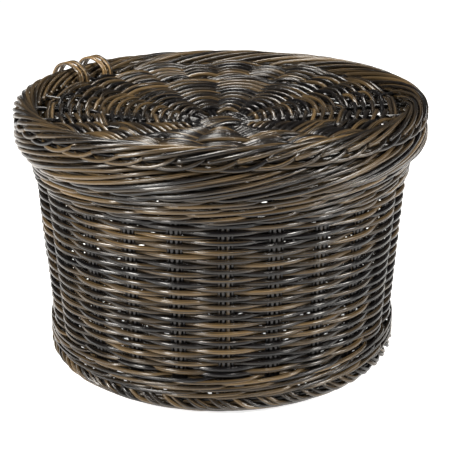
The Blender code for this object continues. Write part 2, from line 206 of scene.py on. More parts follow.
class BasketColours(bpy.types.PropertyGroup):
    dark: FloatVectorProperty(name="Dark", description="Charcoal of the cane", subtype="COLOR",
                              size=3, min=0, max=1, default=(0.0034, 0.0030, 0.0033))
    middle: FloatVectorProperty(name="Middle", description="Grey brown of the cane", subtype="COLOR",
                                size=3, min=0, max=1, default=(0.0185, 0.0142, 0.0098))
    light: FloatVectorProperty(name="Light", description="Tan of the cane", subtype="COLOR",
                               size=3, min=0, max=1, default=(0.125, 0.080, 0.034))
    gold: FloatVectorProperty(name="Gold", description="Golden brown of the hinge", subtype="COLOR",
                              size=3, min=0, max=1, default=(0.27, 0.165, 0.070))
    floor: FloatVectorProperty(name="Floor", description="Pale floor", subtype="COLOR",
                               size=3, min=0, max=1, default=(0.70, 0.70, 0.70))


def sizes():
    return bpy.context.scene.basket_sizes


def colours():
    return bpy.context.scene.basket_colours


# ---------------------------------------------------------------- cane material

def node(tree, kind, x, y, **values):
    made = tree.nodes.new(kind)
    made.location = (x, y)
    for name, value in values.items():
        setattr(made, name, value)
    return made


def maths(tree, operation, x, y, *inputs):
    made = node(tree, "ShaderNodeMath", x, y, operation=operation)
    for socket, value in zip(made.inputs, inputs):
        if isinstance(value, (int, float)):
            socket.default_value = value
        else:
            tree.links.new(value, socket)
    return made.outputs[0]


def cane_sockets(group):
    """What goes into the cane's surface and what comes out of it."""
    for name, kind in (("Place", "Vector"), ("Tone", "Float"), ("Dark", "Color"), ("Middle", "Color"),
                       ("Light", "Color"), ("Lift and shade", "Float"), ("Ribs", "Float")):
        group.interface.new_socket(name, in_out="INPUT", socket_type="NodeSocket" + kind)
    for name, kind in (("Colour", "Color"), ("Roughness", "Float"), ("Height", "Float")):
        group.interface.new_socket(name, in_out="OUTPUT", socket_type="NodeSocket" + kind)


def streaks(group, place, scale_along, scale_around, y, detail=2.0):
    """Noise at a place on the cane: how far along it, how far round it and which cane."""
    along, around, shift = place
    stretched = node(group, "ShaderNodeCombineXYZ", -950, y)
    link = group.links.new
    link(maths(group, "MULTIPLY", -1100, y, along, scale_along), stretched.inputs[0])
    link(maths(group, "MULTIPLY", -1100, y - 120, around, scale_around), stretched.inputs[1])
    link(shift, stretched.inputs[2])
    noise = node(group, "ShaderNodeTexNoise", -780, y)
    noise.inputs["Scale"].default_value = 1.0
    noise.inputs["Detail"].default_value = detail
    link(stretched.outputs[0], noise.inputs["Vector"])
    return noise.outputs["Fac"]


def colour_step(group, value, low, high, below, above, x, y):
    """One colour below the low value, the other above the high one and a blend between."""
    ramp = node(group, "ShaderNodeValToRGB", -60, y)
    ramp.color_ramp.elements[0].position = low
    ramp.color_ramp.elements[1].position = high
    blend = node(group, "ShaderNodeMix", x, 300, data_type="RGBA")
    link = group.links.new
    link(value, ramp.inputs[0])
    link(ramp.outputs[0], blend.inputs["Factor"])
    link(below, blend.inputs["A"])
    link(above, blend.inputs["B"])
    return blend.outputs["Result"]


def rib_wave(group, around, threads, ribs):
    """Fine ribs along the cane, 0 in the grooves and 1 on the crests, a little uneven; they shape the bump
    and the painted shade of the grooves.
    """
    wave = maths(group, "MULTIPLY", -560, -300, around, ribs)
    wave = maths(group, "MULTIPLY_ADD", -400, -300, threads, 1.2, wave)
    wave = maths(group, "MULTIPLY", -240, -300, wave, math.pi)
    wave = maths(group, "SINE", -80, -300, wave)
    wave = maths(group, "ABSOLUTE", 80, -300, wave)
    return maths(group, "POWER", 240, -300, wave, 0.6)


def cane_group():
    """Colour, roughness and height of a cane, from its place along and round the cane."""
    group = bpy.data.node_groups.get("Cane Surface")
    if group:
        return group
    group = bpy.data.node_groups.new("Cane Surface", "ShaderNodeTree")
    cane_sockets(group)
    get = node(group, "NodeGroupInput", -1400, 0)
    put = node(group, "NodeGroupOutput", 900, 0)
    link = group.links.new
    split = node(group, "ShaderNodeSeparateXYZ", -1200, 100)
    link(get.outputs["Place"], split.inputs[0])
    around = split.outputs[1]
    place = (split.outputs[0], around, maths(group, "MULTIPLY", -1200, -200, get.outputs["Tone"], 37.0))
    patches = streaks(group, place, 6.0, 0.35, 500)
    threads = streaks(group, place, 9.0, 14.0, 200, 3.0)
    grain = streaks(group, place, 60.0, 26.0, -100)

    # A positive shift lifts a finish towards tan as its own tone; the stake finish's negative shift darkens
    # it as painted shade.
    mottle = maths(group, "ADD", -560, 420, patches, get.outputs["Lift and shade"])
    mottle = maths(group, "MULTIPLY_ADD", -400, 420, threads, 0.55, mottle)
    mottle = maths(group, "SUBTRACT", -240, 420, mottle, 0.275)
    brown = colour_step(group, mottle, 0.40, 0.62, get.outputs["Dark"], get.outputs["Middle"], 240, 420)
    tan = colour_step(group, mottle, 0.50, 0.80, brown, get.outputs["Light"], 440, 160)

    rib = rib_wave(group, around, threads, get.outputs["Ribs"])
    # Painted shade and highlight: the colour is darkened in the rib grooves and lifted a little on the
    # crests.
    shade = maths(group, "MULTIPLY_ADD", 400, -160, rib, 0.85, 0.26)
    groove_shaded_colour = node(group, "ShaderNodeMix", 640, 300, data_type="RGBA", blend_type="MULTIPLY")
    groove_shaded_colour.inputs["Factor"].default_value = 1.0
    link(tan, groove_shaded_colour.inputs["A"])
    link(shade, groove_shaded_colour.inputs["B"])
    link(groove_shaded_colour.outputs["Result"], put.inputs["Colour"])
    link(maths(group, "MULTIPLY_ADD", 400, -420, grain, 0.16, 0.13), put.inputs["Roughness"])
    link(maths(group, "MULTIPLY_ADD", 640, -300, grain, 0.35, rib), put.inputs["Height"])
    return group


def cane_material(name, dark, middle, light, lift_and_shade, ribs, rib_depth):
    """Semi-gloss resin cane, mottled along its length and finely ribbed, with painted shade in the grooves
    between the ribs.
    """
    material = bpy.data.materials.get(name + " finish")
    if material:
        return material
    material = bpy.data.materials.new(name + " finish")
    material.use_nodes = True
    tree = material.node_tree
    shader = tree.nodes["Principled BSDF"]
    place = node(tree, "ShaderNodeUVMap", -900, 100, uv_map="UVMap")
    tone = node(tree, "ShaderNodeAttribute", -900, -100, attribute_name="tone")
    surface = node(tree, "ShaderNodeGroup", -600, 0, node_tree=cane_group())
    surface.inputs["Dark"].default_value = (*dark, 1)
    surface.inputs["Middle"].default_value = (*middle, 1)
    surface.inputs["Light"].default_value = (*light, 1)
    surface.inputs["Lift and shade"].default_value = lift_and_shade
    surface.inputs["Ribs"].default_value = ribs
    bump = node(tree, "ShaderNodeBump", -250, -200)
    bump.inputs["Strength"].default_value = 0.6
    bump.inputs["Distance"].default_value = rib_depth
    link = tree.links.new
    link(place.outputs[0], surface.inputs["Place"])
    link(tone.outputs["Fac"], surface.inputs["Tone"])
    link(surface.outputs["Colour"], shader.inputs["Base Color"])
    link(surface.outputs["Roughness"], shader.inputs["Roughness"])
    link(surface.outputs["Height"], bump.inputs["Height"])
    link(bump.outputs[0], shader.inputs["Normal"])
    shader.inputs["Specular IOR Level"].default_value = 0.40
    return material


def weave_finish():
    c = colours()
    return cane_material("weave cane", c.dark, c.middle, c.light, 0.0, 7, 0.00030)


def border_finish():
    c = colours()
    return cane_material("border cane", c.dark, c.middle, c.light, 0.05, 8, 0.00025)


# Painted shade: the stake finish is shifted towards the dark colour, so the stakes, the lid's spokes and the
# base's sticks read as dark as the shade they stand in.
def stake_finish():
    c = colours()
    return cane_material("stake cane", c.dark, c.middle, c.light, -0.13, 9, 0.00015)


def hinge_finish():
    c = colours()
    return cane_material("hinge cane", c.middle, c.light, c.gold, 0.06, 8, 0.00015)


# ---------------------------------------------------------------- canes

class Cane:
    """One strand: its path, its tone from 0 to 1, whether it is closed and how thick it is on its way."""

    def __init__(self, path, tone, closed=False, thick=None):
        self.path = path
        self.tone = tone
        self.closed = closed
        self.thick = thick or [1.0] * len(path)


def round_ends(path, thick, radius):
    """Add the points that draw a cane's two ends in to a rounded tip."""
    first = (path[1] - path[0]).normalized() * radius
    last = (path[-1] - path[-2]).normalized() * radius
    start = [path[0] - first * 0.45, path[0] - first * 0.35]
    end = [path[-1] + last * 0.35, path[-1] + last * 0.45]
    return start + path + end, [0.0, 0.72] + thick + [0.72, 0.0]


def add_canes(name, canes, diameter, resolution, finish, body, nodes, twist="MINIMUM"):
    """Lay the canes as one bevelled curve, turn it into a mesh and give it its place on the frame."""
    bpy.ops.object.select_all(action="DESELECT")
    bpy.ops.curve.primitive_nurbs_path_add(location=(0, 0, 0))
    made = bpy.context.object
    made.name = name
    curve = made.data
    curve.splines.clear()
    curve.dimensions = "3D"
    curve.twist_mode = twist
    curve.bevel_depth = diameter / 2
    curve.bevel_resolution = resolution
    curve.use_fill_caps = False
    sides = 4 + 2 * resolution
    laid = []
    for cane in canes:
        path, thick = cane.path, cane.thick
        if not cane.closed:
            path, thick = round_ends(path, thick, diameter / 2)
        spline = curve.splines.new("POLY")
        spline.points.add(len(path) - 1)
        spline.points.foreach_set("co", [c for point in path for c in (*point, 1.0)])
        spline.points.foreach_set("radius", thick)
        spline.use_cyclic_u = cane.closed
        spline.use_smooth = True
        laid.append((path, cane.closed, cane.tone))
    bpy.ops.object.convert(target="MESH")
    made = bpy.context.object
    made.name = name
    mesh = made.data
    mesh.name = name
    write_cane_places(mesh, laid, sides)
    bpy.ops.object.mode_set(mode="EDIT")
    bpy.ops.mesh.select_all(action="SELECT")
    bpy.ops.mesh.remove_doubles(threshold=0.000002)
    bpy.ops.object.mode_set(mode="OBJECT")
    mesh.materials.clear()
    mesh.materials.append(finish)
    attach(made, body)
    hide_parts(*nodes)
    return made


def write_cane_places(mesh, laid, sides):
    """Write how far along and round its own cane each corner lies, in metres and turns, and the tone."""
    corner = np.zeros(len(mesh.loops), np.int64)
    mesh.loops.foreach_get("vertex_index", corner)
    layer = mesh.uv_layers[0]
    layer.name = "UVMap"
    uv = np.zeros(len(mesh.loops) * 2)
    layer.data.foreach_get("uv", uv)
    uv = uv.reshape(-1, 2)
    tones = np.zeros(len(mesh.vertices))
    start = 0
    for path, closed, tone in laid:
        end = start + len(path) * sides
        tones[start:end] = tone
        line = np.array(path + [path[0]] if closed else path)
        lengths = np.concatenate([[0.0], np.cumsum(np.linalg.norm(np.diff(line, axis=0), axis=1))])
        mine = (corner >= start) & (corner < end) if len(laid) > 1 else slice(None)
        uv[mine, 0] = np.interp(uv[mine, 0] * (len(lengths) - 1), np.arange(len(lengths)), lengths)
        start = end
    layer.data.foreach_set("uv", uv.ravel())
    attribute = mesh.attributes.new("tone", "FLOAT", "POINT")
    attribute.data.foreach_set("value", tones)


def over_and_under(phase):
    """+1 over a stake, -1 behind the next, with full rounded bends."""
    wave = math.cos(math.pi * phase)
    return wave * (1.22 - 0.22 * wave * wave)


def pressed(side):
    """Canes are squeezed a little where they cross, and lie full and round behind a stake."""
    return mix(0.95, 1.0 if side > 0 else 1.08, abs(side))


def drift(seed, amount):
    """A slow smooth wander, the same each run."""
    chance = random.Random(seed)
    waves = [(chance.uniform(0.3, 2.7), chance.uniform(0, 2 * math.pi)) for _ in range(4)]

    def value(t):
        return amount * sum(math.sin(speed * t + start) for speed, start in waves) / 2

    return value


# ---------------------------------------------------------------- basket pieces

class BASKET_OT_wall(bpy.types.Operator):
    """Weave the wall from one long cane, over one stake and behind the next"""
    bl_idname = "basket.wall"
    bl_label = "Wall Weave"

    def execute(self, context):
        s = sizes()
        low, high = Z_WALL + s.weaver / 2, Z_WALL_TOP - s.weaver / 2
        rows = round((high - low) / s.row_pitch)
        pitch = (high - low) / rows
        per_row = STAKES * s.steps
        up, out = drift(3, s.wobble), drift(4, s.wobble)
        path, thick = [], []
        for i in range(-per_row, (rows + 1) * per_row + 1):
            turn = i / per_row
            phase = turn * STAKES
            side = over_and_under(phase)
            z = min(max(low + turn * pitch, low), high) + up(phase) - s.sink * (1 - side) / 2
            radius = wall_middle(z) + s.swing * side + out(phase)
            path.append(polar(radius, HINGE_SIDE + turn * 2 * math.pi, z))
            thick.append(pressed(side))
        add_canes("wall_weave_cane", [Cane(path, 0.37, thick=thick)], s.weaver, 2, weave_finish(),
                  "basket", ["wall_weave"], "Z_UP")
        return {"FINISHED"}


def wale(z_low, z_high, radius_at, seed, start=0.0):
    """One round of waling: a closed cane in front of two stakes and behind the third, three times round."""
    s = sizes()
    cane = s.border_cane
    steps = 6
    count = 3 * STAKES * steps
    rise = z_high - z_low - cane
    wander = drift(seed, s.wobble)
    path = []
    for i in range(count):
        stakes = i / steps
        phase = (stakes + start) % 3.0
        if phase < 2.0:
            z = z_low + cane / 2 + rise * (phase / 2) ** 1.35
        else:
            z = z_high - cane / 2 - rise * (phase - 2.0)
        front = smooth(phase, -0.25, 0.40) - smooth(phase, 1.65, 2.30) + smooth(phase, 2.75, 3.40)
        radius = radius_at(z) + (WALL_T - cane) / 2 * (2 * front - 1) + wander(stakes)
        path.append(polar(radius, HINGE_SIDE + (stakes - 0.5) * PITCH, z))
    return Cane(path, random.Random(seed).random(), closed=True)


class BASKET_OT_walings(bpy.types.Operator):
    """Lay the stout walings below and above the wall"""
    bl_idname = "basket.walings"
    bl_label = "Walings"

    def execute(self, context):
        s = sizes()
        rows = 3
        deep = (Z_LOWER_TOP - Z_LOWER) / rows
        lower = [wale(Z_LOWER + deep * row - 0.0006, Z_LOWER + deep * (row + 1) + 0.0010,
                      lambda z: wall_middle(z) + WALING_PROUD, 20 + row, row * 0.4) for row in range(rows)]
        add_canes("lower_waling_cane", lower, s.border_cane, 2, border_finish(), "basket",
                  ["lower_waling"], "Z_UP")
        deep = (Z_UPPER_TOP - Z_UPPER) / rows

        def flare(z):
            t = (z - Z_UPPER) / (Z_UPPER_TOP - Z_UPPER)
            return mix(wall_middle(z) + WALING_PROUD, UPPER_R - WALL_T / 2 - 0.004, max(t, 0.0) ** 3)

        upper = [wale(Z_UPPER + deep * row - 0.0018, Z_UPPER + deep * (row + 1) + 0.0010,
                      flare, 30 + row, row * 0.4) for row in range(rows)]
        upper += core_canes([(wall_outer(z) - WALL_T + s.border_cane / 2, z)
                             for z in (Z_UPPER - 0.004, Z_UPPER, Z_UPPER + 0.004, Z_UPPER + 0.008)], 0.3)
        add_canes("upper_waling_cane", upper, s.border_cane, 2, border_finish(), "basket",
                  ["upper_waling"], "Z_UP")
        return {"FINISHED"}


class BASKET_OT_stakes(bpy.types.Operator):
    """Stand the canes that the wall is woven round: a stout pair, with a thin cane on either side"""
    bl_idname = "basket.stakes"
    bl_label = "Side Stakes"

    def execute(self, context):
        s = sizes()
        for index in range(STAKES):
            name = f"side_stake_{index + 1:02d}"
            low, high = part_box(name)
            angle = stake_angle(index)
            along = Vector((-math.sin(angle), math.cos(angle), 0))
            chance = random.Random(100 + index)
            canes = []
            for side in (-1, 1):
                path = []
                for step in range(13):
                    z = mix(low.z + 0.002, high.z - 0.002, step / 12)
                    offset = along * (side * (s.stake_cane / 2 + 0.0001))
                    path.append(polar(wall_middle(z), angle, z) + offset)
                canes.append(Cane(path, chance.random()))
                path = []
                for step in range(13):
                    z = mix(low.z + 0.004, Z_UPPER + 0.010, step / 12)
                    offset = along * (side * s.stake_cane * 1.36)
                    path.append(polar(wall_middle(z) - 0.0006, angle, z) + offset)
                canes.append(Cane(path, chance.random(), thick=[0.70] * 13))
            add_canes(f"side_stake_canes_{index + 1:02d}", canes, s.stake_cane, 2, stake_finish(),
                      "basket", [name])
        return {"FINISHED"}


def core_canes(places, tone):
    """Closed canes that fill the inside of a border: radius and height of each."""
    steps = 6 * STAKES
    canes = []
    for index, (radius, z) in enumerate(places):
        path = [polar(radius, 2 * math.pi * i / steps, z) for i in range(steps)]
        canes.append(Cane(path, (tone + index * 0.37) % 1, closed=True))
    return canes


class BASKET_OT_foot(bpy.types.Operator):
    """Turn the ends of the stakes down and along to make the foot border"""
    bl_idname = "basket.foot"
    bl_label = "Foot Border"

    def execute(self, context):
        s = sizes()
        cane = s.border_cane
        half = cane / 2
        edge = FOOT_R - half
        canes = core_canes([(FOOT_R - 0.0112, 0.0052), (FOOT_R - 0.0086, 0.0086), (FOOT_R - 0.0068, 0.0120),
                            (FOOT_R - 0.0068, 0.0156), (FOOT_R - 0.0150, 0.0034)], 0.2)
        for index in range(4 * STAKES):
            chance = random.Random(200 + index)
            strand = index % 4
            start = stake_angle(index // 4) + (-0.30, -0.12, 0.20, 0.38)[strand] * PITCH
            under = 0.0008 * (strand % 2)
            # place along the border in stakes, radius and height
            line = [(-0.16, edge - 0.0080, Z_FOOT_TOP + 0.0024), (-0.06, edge - 0.0030, Z_FOOT_TOP + 0.0006),
                    (0.08, edge + 0.0002 - under, Z_FOOT_TOP - 0.0034),
                    (0.26, edge + 0.0004 - under, Z_FOOT_TOP - 0.0080),
                    (0.50, edge - 0.0026 - under, 0.0072), (0.80, edge - 0.0064, half + 0.0026),
                    (1.10, edge - 0.0098, half + 0.0006), (1.40, edge - 0.0128, half + 0.0004),
                    (1.65, edge - 0.0152, half + 0.0030)]
            wander = chance.uniform(-1.5, 1.5) * s.wobble
            points = [polar(radius + wander, start + along * PITCH, z) for along, radius, z in line]
            canes.append(Cane(smooth_path(points, 22), chance.random()))
        add_canes("foot_border_canes", canes, cane, 2, border_finish(), "basket", ["foot_border"],
                  "Z_UP")
        return {"FINISHED"}


class BASKET_OT_rim(bpy.types.Operator):
    """Roll the wide rim from long canes that climb slowly round the mouth"""
    bl_idname = "basket.rim"
    bl_label = "Rim Border"

    def execute(self, context):
        s = sizes()
        cane = s.border_cane
        half = cane / 2
        edge = RIM_R - half
        canes = core_canes([(RIM_R - 0.0105, Z_RIM + 0.0050), (RIM_R - 0.0072, Z_RIM + 0.0090),
                            (RIM_R - 0.0062, Z_RIM + 0.0128), (RIM_R - 0.0060, Z_RIM + 0.0166),
                            (RIM_R - 0.0062, Z_RIM + 0.0204), (RIM_R - 0.0100, Z_MOUTH - 0.0058),
                            (RIM_R - 0.0140, Z_MOUTH - 0.0052), (RIM_R - 0.0180, Z_MOUTH - 0.0056)], 0.5)
        for index in range(2 * STAKES):
            chance = random.Random(300 + index)
            start = stake_angle(0) + (index + chance.uniform(-0.16, 0.16)) * PITCH / 2
            swell = chance.uniform(-0.0013, 0.0013)
            line = [(0.00, RIM_R - 0.0170, Z_RIM + 0.0060), (0.18, RIM_R - 0.0128, Z_RIM + 0.0036),
                    (0.45, RIM_R - 0.0100, Z_RIM + 0.0016), (0.80, RIM_R - 0.0070, Z_RIM + 0.0038),
                    (1.25, edge - 0.0020, Z_RIM + 0.0078 + swell),
                    (1.80, edge, Z_RIM + 0.0126 + swell), (2.40, edge, Z_RIM + 0.0178 + swell),
                    (3.00, edge - 0.0010, Z_MOUTH - half - 0.0030),
                    (3.40, RIM_R - 0.0065, Z_MOUTH - half), (3.75, RIM_R - 0.0120, Z_MOUTH - half - 0.0002),
                    (4.10, RIM_R - 0.0175, Z_MOUTH - half - 0.0010),
                    (4.45, RIM_R - 0.0222, Z_MOUTH - half - 0.0050),
                    (4.70, RIM_R - 0.0236, Z_MOUTH - half - 0.0120)]
            wander = chance.uniform(-1, 1) * s.wobble
            points = [polar(radius, start + along * PITCH, z + wander) for along, radius, z in line]
            canes.append(Cane(smooth_path(points, 40), chance.random()))
        add_canes("rim_border_canes", canes, cane, 2, border_finish(), "basket", ["rim_border"],
                  "Z_UP")
        return {"FINISHED"}


# ---------------------------------------------------------------- woven discs

def spoke_angle(spoke):
    return stake_angle(SINGLE_SPOKE) + spoke * SPOKE_PITCH


def fork_radius(spoke):
    return FORK_R + FORK_SPREAD * (1 - math.cos(spoke * SPOKE_PITCH))


def arm_angle(spoke, side, radius):
    """Angle at a radius of one cane of a forked spoke."""
    fork = fork_radius(spoke)
    inner = spoke_angle(spoke)
    outer_middle = stake_angle(SINGLE_SPOKE + 2 * spoke - 0.5)
    drifted = mix(inner, outer_middle, min(max((radius - fork) / (LID_WEAVE_R - fork), 0.0), 1.0))
    opened = FORK_OPEN * smooth(radius, fork - 0.002, fork + FORK_RUN)
    settled = mix(opened, PITCH / 2, smooth(radius, fork + FORK_RUN, LID_WEAVE_R))
    return drifted + side * settled


def disc_path(r_in, r_out, pitch, steps, crossings, place, reach):
    """Spiral of one weaver between two radii. crossings(radius) gives the canes it passes."""
    rows = int((r_out - r_in) / pitch)
    passed = []
    for row in range(rows):
        for angle in sorted(crossings(r_in + pitch * row)):
            passed.append(2 * math.pi * row + angle)
    path = []
    for index, (here, ahead) in enumerate(zip(passed, passed[1:])):
        for step in range(steps):
            turned = mix(here, ahead, step / steps)
            along = r_in + pitch * turned / (2 * math.pi)
            side = over_and_under(index + step / steps)
            path.append(place(along, HINGE_SIDE + turned, reach * side))
    return path


def lid_profile(along):
    """Radius, height and slope of the lid's weave: a shallow dish, then turned up to the border."""
    bend_start, bend_end, steep = 0.1610, 0.1680, math.radians(30)
    dish = math.atan2(Z_SOCKET - Z_KNOT, MOUTH_R)
    if along <= bend_start:
        return along, lid_level(along), dish
    radius, z, count = bend_start, lid_level(bend_start), 12
    for i in range(count):
        here = mix(bend_start, along, (i + 0.5) / count)
        slope = mix(dish, steep, smooth(here, bend_start, bend_end))
        radius += math.cos(slope) * (along - bend_start) / count
        z += math.sin(slope) * (along - bend_start) / count
    return radius, z, mix(dish, steep, smooth(along, bend_start, bend_end))


class BASKET_OT_lid_weave(bpy.types.Operator):
    """Weave the lid's disc from one cane, over one spoke and under the next"""
    bl_idname = "basket.lid_weave"
    bl_label = "Lid Weave"

    def execute(self, context):
        s = sizes()
        reach = (WALL_T - s.lid_weaver) / 2 * 0.80
        holes = []
        for spoke in range(1, INNER_SPOKES):
            away = 1 if spoke <= INNER_SPOKES // 2 else -1
            holes.append((fork_radius(spoke) + 0.004, arm_angle(spoke, 0, fork_radius(spoke))
                          + away * math.radians(4)))

        def crossings(radius):
            angles = [spoke_angle(0)]
            for spoke in range(1, INNER_SPOKES):
                if radius < fork_radius(spoke) + 0.003:
                    angles.append(spoke_angle(spoke))
                else:
                    angles += [arm_angle(spoke, side, radius) for side in (-1, 1)]
            return [(angle - HINGE_SIDE) % (2 * math.pi) for angle in angles]

        wander = drift(40, s.wobble)

        def place(along, angle, offset):
            radius, z, slope = lid_profile(along)
            for hole_r, hole_angle in holes:
                apart = (angle - hole_angle + math.pi) % (2 * math.pi) - math.pi
                near = math.exp(-(apart / math.radians(4.5)) ** 2 - ((radius - hole_r) / 0.012) ** 2)
                radius += 0.0032 * near * (1 if radius > hole_r else -1)
            z += wander(angle)
            return polar(radius - math.sin(slope) * offset, angle, z + math.cos(slope) * offset)

        path = disc_path(WEAVE_START_R, LID_WEAVE_END_R, s.lid_pitch, s.steps, crossings, place, reach)
        add_canes("lid_weave_cane", [Cane(path, 0.61)], s.lid_weaver, 2, weave_finish(), "lid",
                  ["lid_weave"], "Z_UP")
        return {"FINISHED"}


class BASKET_OT_lid_spokes(bpy.types.Operator):
    """Lay the lid's spokes, pairs of canes that part at their forks"""
    bl_idname = "basket.lid_spokes"
    bl_label = "Lid Spokes"

    def execute(self, context):
        s = sizes()
        for spoke in range(INNER_SPOKES):
            chance = random.Random(400 + spoke)
            name = f"lid_spoke_{spoke + 1:02d}"
            z_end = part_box(name)[1].z - 0.0022
            inner = spoke_angle(spoke)
            sideways = Vector((-math.sin(inner), math.cos(inner), 0)) * (s.stake_cane / 2 + 0.0001)
            canes = []
            for side in (-1, 1):
                path = []
                for step in range(33):
                    radius = mix(SPOKE_START_R, SPOKE_END_R, step / 32)
                    z = min(lid_level(radius), z_end)
                    if spoke == 0:
                        path.append(polar(radius, inner, z) + sideways * side)
                        continue
                    together = 1 - smooth(radius, fork_radius(spoke) - 0.004, fork_radius(spoke) + 0.008)
                    beside = sideways * side * together
                    path.append(polar(radius, arm_angle(spoke, side, radius), z) + beside)
                canes.append(Cane(path, chance.random()))
            add_canes(f"lid_spoke_canes_{spoke + 1:02d}", canes, s.stake_cane, 2, stake_finish(), "lid",
                      [name])
        return {"FINISHED"}


class BASKET_OT_lid_border(bpy.types.Operator):
    """Roll the lid's border: cut ends outside, canes over the top and risers between them"""
    bl_idname = "basket.lid_border"
    bl_label = "Lid Border"

    def execute(self, context):
        s = sizes()
        cane = s.border_cane
        half = cane / 2
        edge = LID_R - half
        top = Z_LID_TOP - half
        canes = core_canes([(LID_R - 0.0085, Z_SEAT + 0.0028), (LID_R - 0.0070, Z_SEAT + 0.0066),
                            (LID_R - 0.0088, Z_SEAT + 0.0104), (LID_R - 0.0120, Z_SEAT + 0.0130),
                            (LID_R - 0.0150, Z_SEAT + 0.0108), (LID_R - 0.0185, Z_SEAT + 0.0085),
                            (LID_R - 0.0130, Z_SEAT + 0.0050)], 0.8)
        for index in range(2 * STAKES):
            chance = random.Random(500 + index)
            start = stake_angle(SINGLE_SPOKE) + (index + 0.35 + chance.uniform(-0.10, 0.10)) * PITCH / 2
            wander = chance.uniform(-1.5, 1.5) * s.wobble
            # over the top, from the cut end outside to the inner edge
            line = [(0.00, edge + 0.0004, Z_SEAT + 0.0092), (0.30, edge - 0.0004, Z_SEAT + 0.0120),
                    (0.60, edge - 0.0024, top - 0.0028), (0.95, edge - 0.0058, top - 0.0004),
                    (1.35, edge - 0.0092, top + 0.0002), (1.80, edge - 0.0126, top - 0.0012),
                    (2.25, edge - 0.0160, top - 0.0040), (2.65, edge - 0.0188, top - 0.0072),
                    (2.95, edge - 0.0205, top - 0.0108)]
            points = [polar(radius, start + along * PITCH, z + wander) for along, radius, z in line]
            canes.append(Cane(smooth_path(points, 28), chance.random()))
            # from under the border, along its foot and up between the cut ends
            start += 0.10 * PITCH
            line = [(-0.30, LID_R - 0.0120, Z_SEAT + half + 0.0030),
                    (-0.10, LID_R - 0.0070, Z_SEAT + half + 0.0012),
                    (0.12, edge - 0.0012, Z_SEAT + half + 0.0002), (0.38, edge, Z_SEAT + half),
                    (0.62, edge, Z_SEAT + half + 0.0020), (0.82, edge - 0.0012, Z_SEAT + 0.0078),
                    (0.96, edge - 0.0045, Z_SEAT + 0.0120), (1.12, edge - 0.0082, Z_SEAT + 0.0124),
                    (1.35, edge - 0.0115, Z_SEAT + 0.0100), (1.65, edge - 0.0140, Z_SEAT + 0.0078),
                    (2.00, edge - 0.0165, Z_SEAT + 0.0072), (2.35, edge - 0.0185, Z_SEAT + 0.0058)]
            points = [polar(radius, start + along * PITCH, z + wander) for along, radius, z in line]
            canes.append(Cane(smooth_path(points, 32), chance.random()))
        add_canes("lid_border_canes", canes, cane, 2, border_finish(), "lid", ["lid_border"],
                  "Z_UP")
        return {"FINISHED"}


class BASKET_OT_base(bpy.types.Operator):
    """Weave the base round its cross of sticks"""
    bl_idname = "basket.base"
    bl_label = "Base"

    def execute(self, context):
        s = sizes()
        reach = (WALL_T - s.lid_weaver) / 2
        arm_reach = (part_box("base_cross")[1].y - AXIS_Y) - 0.003
        canes = []
        for arm in range(INNER_SPOKES):
            angle = HINGE_SIDE + arm * SPOKE_PITCH
            chance = random.Random(600 + arm)
            sideways = Vector((-math.sin(angle), math.cos(angle), 0)) * (s.stake_cane / 2 + 0.0001)
            for side in (-1, 1):
                path = [polar(mix(SPOKE_START_R, arm_reach, step / 16), angle, Z_BASE) + sideways * side
                        for step in range(17)]
                canes.append(Cane(path, chance.random()))
        add_canes("base_cross_canes", canes, s.stake_cane, 2, stake_finish(), "basket",
                  ["base_cross"])

        def crossings(radius):
            return [arm * SPOKE_PITCH for arm in range(INNER_SPOKES)]

        def place(along, angle, offset):
            return polar(along, angle, Z_BASE + offset)

        path = disc_path(WEAVE_START_R, BASE_R - s.lid_weaver, s.lid_pitch, s.steps, crossings, place, reach)
        add_canes("base_weave_cane", [Cane(path, 0.18)], s.lid_weaver, 1, weave_finish(), "basket",
                  ["base_weave"], "Z_UP")
        return {"FINISHED"}


def knot_canes(z, turned, seed):
    """Two bands of canes that cross over the middle, with a loop beside them."""
    s = sizes()
    cane = s.lid_weaver
    chance = random.Random(seed)
    canes = []
    count = 6
    for layer, (angle, height) in enumerate(((turned + math.pi / 2, 0.0015), (turned, 0.0052))):
        ahead = Vector((math.cos(angle), math.sin(angle), 0))
        across = Vector((-math.sin(angle), math.cos(angle), 0))
        for index in range(count):
            offset = (index - (count - 1) / 2) * cane * 0.98
            reach = math.sqrt(max(KNOT_REACH ** 2 - offset ** 2, 0.0001))
            path = []
            for step in range(17):
                t = step / 8 - 1
                arch = math.cos(t * math.pi / 2) ** 0.5 if abs(t) < 1 else 0.0
                level = mix(-0.0035, height, arch)
                spread = 1 + 0.10 * t * (1 - layer)
                path.append(polar(0, 0, z + level) + ahead * (t * reach) + across * (offset * spread))
            canes.append(Cane(path, chance.random()))
    loop = []
    for step in range(15):
        t = step / 14
        angle = turned + math.radians(mix(-28, 72, t))
        radius = 0.0275 + 0.0012 * math.sin(math.pi * t)
        loop.append(polar(radius, angle, z + mix(-0.002, 0.0055, math.sin(math.pi * t) ** 0.7)))
    canes.append(Cane(loop, chance.random()))
    return canes


class BASKET_OT_knots(bpy.types.Operator):
    """Bind the middles of the lid and the base"""
    bl_idname = "basket.knots"
    bl_label = "Knots"

    def execute(self, context):
        s = sizes()
        lid_turn = stake_angle(SINGLE_SPOKE) + math.radians(118)
        add_canes("lid_knot_canes", knot_canes(Z_KNOT, lid_turn, 700), s.weaver, 2, weave_finish(), "lid",
                  ["lid_knot"])
        add_canes("base_knot_canes", knot_canes(Z_BASE, 0.6, 701), s.weaver, 2, weave_finish(), "basket",
                  ["base_knot"])
        return {"FINISHED"}


# ---------------------------------------------------------------- hinge

EYE_R = 0.0042
LID_INNER_R = LID_R - 0.024
LOOP_X = (0.013, 0.022)
LEG_X = (0.008, 0.027)
INNER_RUN = 0.0058
LEG_CLEARANCE = 0.0035


